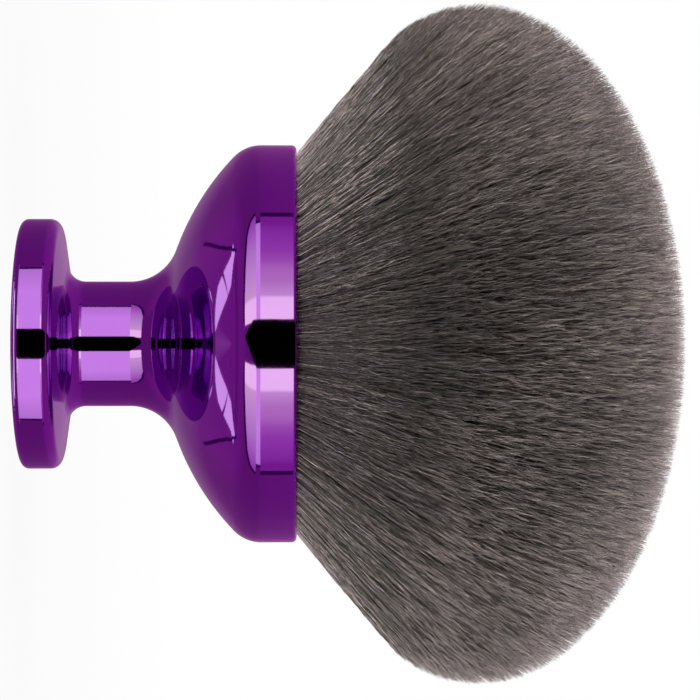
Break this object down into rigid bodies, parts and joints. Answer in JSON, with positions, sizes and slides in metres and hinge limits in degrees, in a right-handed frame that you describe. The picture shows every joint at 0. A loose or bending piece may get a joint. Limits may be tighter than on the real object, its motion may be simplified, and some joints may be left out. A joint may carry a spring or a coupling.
{
  "type": "body makeup brush",
  "caption": "Short makeup brush for the body: a spool-shaped metallic handle that flares into a bell, with a wide dense dome of soft straight bristles.",
  "frame": {"origin": "centre of the flat end face of the handle flange, on which the brush stands", "axes": "+Z along the brush axis from the end flange towards the bristle tips; the shape is the same all the way round, so X and Y are any two directions at right angles to it"},
  "size_m": [0.0844, 0.0844, 0.0825],
  "materials": {
    "plated_abs": "polished",
    "cover": "gloss",
    "adhesive_pad": "satin",
    "weight_steel": "satin",
    "plug_foam": "matte",
    "cup_metal": "satin",
    "cup_glue": "satin",
    "bristle": "matte"
  },
  "bodies": {
    "root": {"handle_shell": "plated_abs", "end_cover": "cover", "end_cover_adhesive": "adhesive_pad", "counterweight": "weight_steel", "weight_retaining_plug": "plug_foam", "bristle_cup": "cup_metal", "cup_adhesive": "cup_glue", "bristle_core": "bristle", "bristle_sector_1": "bristle", "bristle_sector_2": "bristle", "bristle_sector_3": "bristle", "bristle_sector_4": "bristle", "bristle_sector_5": "bristle", "bristle_sector_6": "bristle"}
  },
  "joints": []
}
